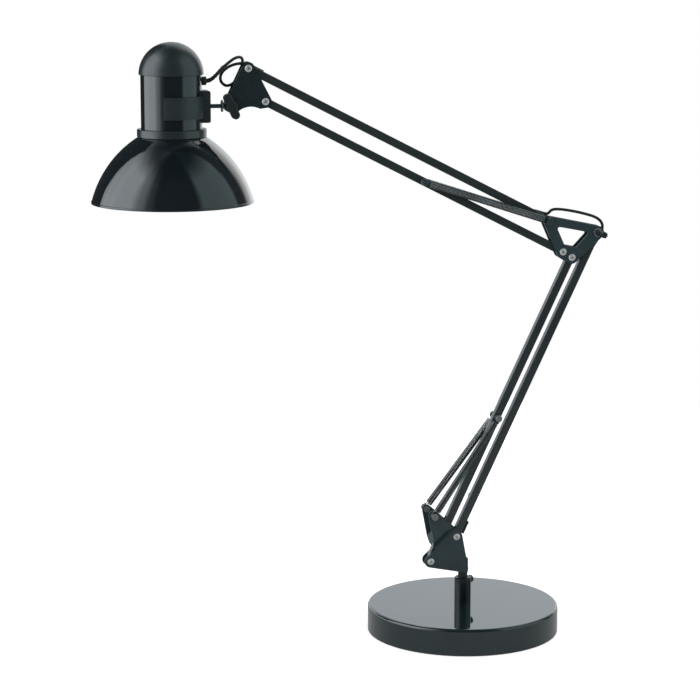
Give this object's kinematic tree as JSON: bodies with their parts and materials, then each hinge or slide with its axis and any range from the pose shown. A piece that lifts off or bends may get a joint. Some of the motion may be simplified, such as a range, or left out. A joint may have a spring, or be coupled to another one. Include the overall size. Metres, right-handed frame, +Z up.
{
  "type": "desk lamp",
  "caption": "Desk lamp with a spring-balanced folding parallelogram arm, a swivelling post on a round weighted base and a tilting bowl-shaped shade.",
  "frame": {"origin": "centre of the base's underside, on the surface that the lamp stands on", "axes": "+Z up, the arms fold in the X-Z plane with the shade towards -X, +Y to the far side"},
  "size_m": [0.5296, 0.2, 0.6189],
  "materials": {
    "base_paint": "smooth gloss paint",
    "weight_iron": "as cast",
    "pad_felt": "felt",
    "socket_paint": "satin paint",
    "bearing_plastic": "moulded",
    "zinc_steel": "zinc plated",
    "knob_plastic": "moulded",
    "cheek_paint": "satin paint",
    "bar_paint": "satin paint",
    "rivet_steel": "bright plated",
    "spring_steel": "drawn wire",
    "stop_rubber": "moulded",
    "cord_sheath": "smooth sheath",
    "shade_paint": "gloss paint",
    "housing_paint": "gloss paint",
    "cap_plastic": "satin moulding",
    "clip_plastic": "moulded",
    "holder_ceramic": "glazed",
    "bulb_metal": "rolled thread",
    "bulb_glass": "frosted"
  },
  "bodies": {
    "base": {"base_cover": "base_paint", "base_weight": "weight_iron", "base_pad": "pad_felt", "post_socket": "socket_paint", "socket_bush": "bearing_plastic", "socket_nut": "zinc_steel"},
    "clamp": {"clamp_screw": "knob_plastic"},
    "stand": {"swivel_stem": "socket_paint", "stand_cheek_near": "cheek_paint", "stand_cheek_far": "cheek_paint", "stand_rivets": "rivet_steel", "stem_pins": "cheek_paint", "stand_spring_studs": "cheek_paint", "lower_spring_near": "spring_steel", "lower_spring_far": "spring_steel"},
    "lower_front_arm": {"lower_front_bar": "bar_paint", "lower_front_inserts": "bearing_plastic", "lower_spring_post": "zinc_steel"},
    "elbow": {"elbow_cheek_near": "cheek_paint", "elbow_cheek_far": "cheek_paint", "elbow_rivets": "rivet_steel", "elbow_spring_pin": "cheek_paint", "elbow_bolt": "zinc_steel", "elbow_washer": "zinc_steel", "elbow_cord": "cord_sheath", "upper_spring_near": "spring_steel", "upper_spring_far": "spring_steel"},
    "lower_rear_arm": {"lower_rear_bar": "bar_paint", "lower_rear_inserts": "bearing_plastic", "rear_bar_stop": "stop_rubber", "cord_exit_grommet": "stop_rubber", "lower_cord_run": "cord_sheath"},
    "elbow_clamp": {"elbow_knob": "knob_plastic"},
    "upper_boom_arm": {"upper_boom_bar": "bar_paint", "upper_boom_inserts": "bearing_plastic", "upper_spring_post": "cheek_paint"},
    "upper_top_arm": {"upper_top_bar": "bar_paint", "upper_top_inserts": "bearing_plastic", "upper_cord_run": "cord_sheath"},
    "head_bracket": {"head_cheek_near": "cheek_paint", "head_cheek_far": "cheek_paint", "head_rivets": "rivet_steel", "tilt_bolt": "zinc_steel", "head_cord": "cord_sheath"},
    "tilt_clamp": {"wing_nut": "knob_plastic"},
    "head_pivot": {"head_stem": "cheek_paint", "stem_disc": "zinc_steel"},
    "head": {"saddle_clip": "clip_plastic", "lamp_housing": "housing_paint", "housing_cap": "cap_plastic", "shade_collar": "cap_plastic", "shade": "shade_paint", "lamp_holder": "holder_ceramic", "holder_nut": "zinc_steel", "bulb_cap": "bulb_metal", "bulb_glass": "bulb_glass", "cord_relief": "stop_rubber"}
  },
  "joints": [
    {"name": "clamp_turn", "type": "hinge", "parent": "base", "child": "clamp", "pos_m": [0, 0, 0.051], "axis": [0.7547, 0.6561, 0], "continuous": true},
    {"name": "stand_swivel", "type": "hinge", "parent": "base", "child": "stand", "pos_m": [0, 0, 0.05], "axis": [0, 0, 1], "continuous": true},
    {"name": "lower_arm", "type": "hinge", "parent": "stand", "child": "lower_front_arm", "pos_m": [-0.0362, 0, 0.0761], "axis": [0, -1, 0], "range_deg": [-5, 45], "deforming": ["lower_spring_near", "lower_spring_far", "elbow_cord"]},
    {"name": "elbow_level", "type": "hinge", "parent": "lower_front_arm", "child": "elbow", "pos_m": [0.11227, 0, 0.39305], "axis": [0, -1, 0], "range_deg": [-45, 5]},
    {"name": "rear_bar_pivot", "type": "hinge", "parent": "elbow", "child": "lower_rear_arm", "pos_m": [0.13984, 0, 0.41832], "axis": [0, -1, 0], "range_deg": [-5, 45]},
    {"name": "elbow_knob_turn", "type": "hinge", "parent": "elbow", "child": "elbow_clamp", "pos_m": [0.13984, 0, 0.41832], "axis": [0, -1, 0], "continuous": true},
    {"name": "upper_arm", "type": "hinge", "parent": "elbow", "child": "upper_top_arm", "pos_m": [0.08557, 0, 0.43213], "axis": [0, -1, 0], "range_deg": [-15, 40], "deforming": ["upper_spring_near", "upper_spring_far", "elbow_cord", "head_cord"]},
    {"name": "boom_pivot", "type": "hinge", "parent": "elbow", "child": "upper_boom_arm", "pos_m": [0.10257, 0, 0.39905], "axis": [0, -1, 0], "range_deg": [-15, 40]},
    {"name": "head_level", "type": "hinge", "parent": "upper_top_arm", "child": "head_bracket", "pos_m": [-0.22573, 0, 0.59212], "axis": [0, -1, 0], "range_deg": [-40, 15]},
    {"name": "wing_nut_turn", "type": "hinge", "parent": "head_bracket", "child": "tilt_clamp", "pos_m": [-0.2435, 0, 0.555], "axis": [0, -1, 0], "continuous": true},
    {"name": "head_tilt", "type": "hinge", "parent": "head_bracket", "child": "head_pivot", "pos_m": [-0.2435, 0, 0.555], "axis": [0, -1, 0], "range_deg": [-25, 40], "deforming": ["head_cord", "cord_relief"]},
    {"name": "head_roll", "type": "hinge", "parent": "head_pivot", "child": "head", "pos_m": [-0.262, 0, 0.555], "axis": [-1, 0, 0], "range_deg": [-50, 50], "deforming": ["head_cord", "cord_relief"]}
  ],
  "couplings": [
    {"joint": "elbow_level", "follows": "lower_arm", "ratio": -1},
    {"joint": "rear_bar_pivot", "follows": "lower_arm", "ratio": 1},
    {"joint": "boom_pivot", "follows": "upper_arm", "ratio": 1},
    {"joint": "head_level", "follows": "upper_arm", "ratio": -1}
  ]
}
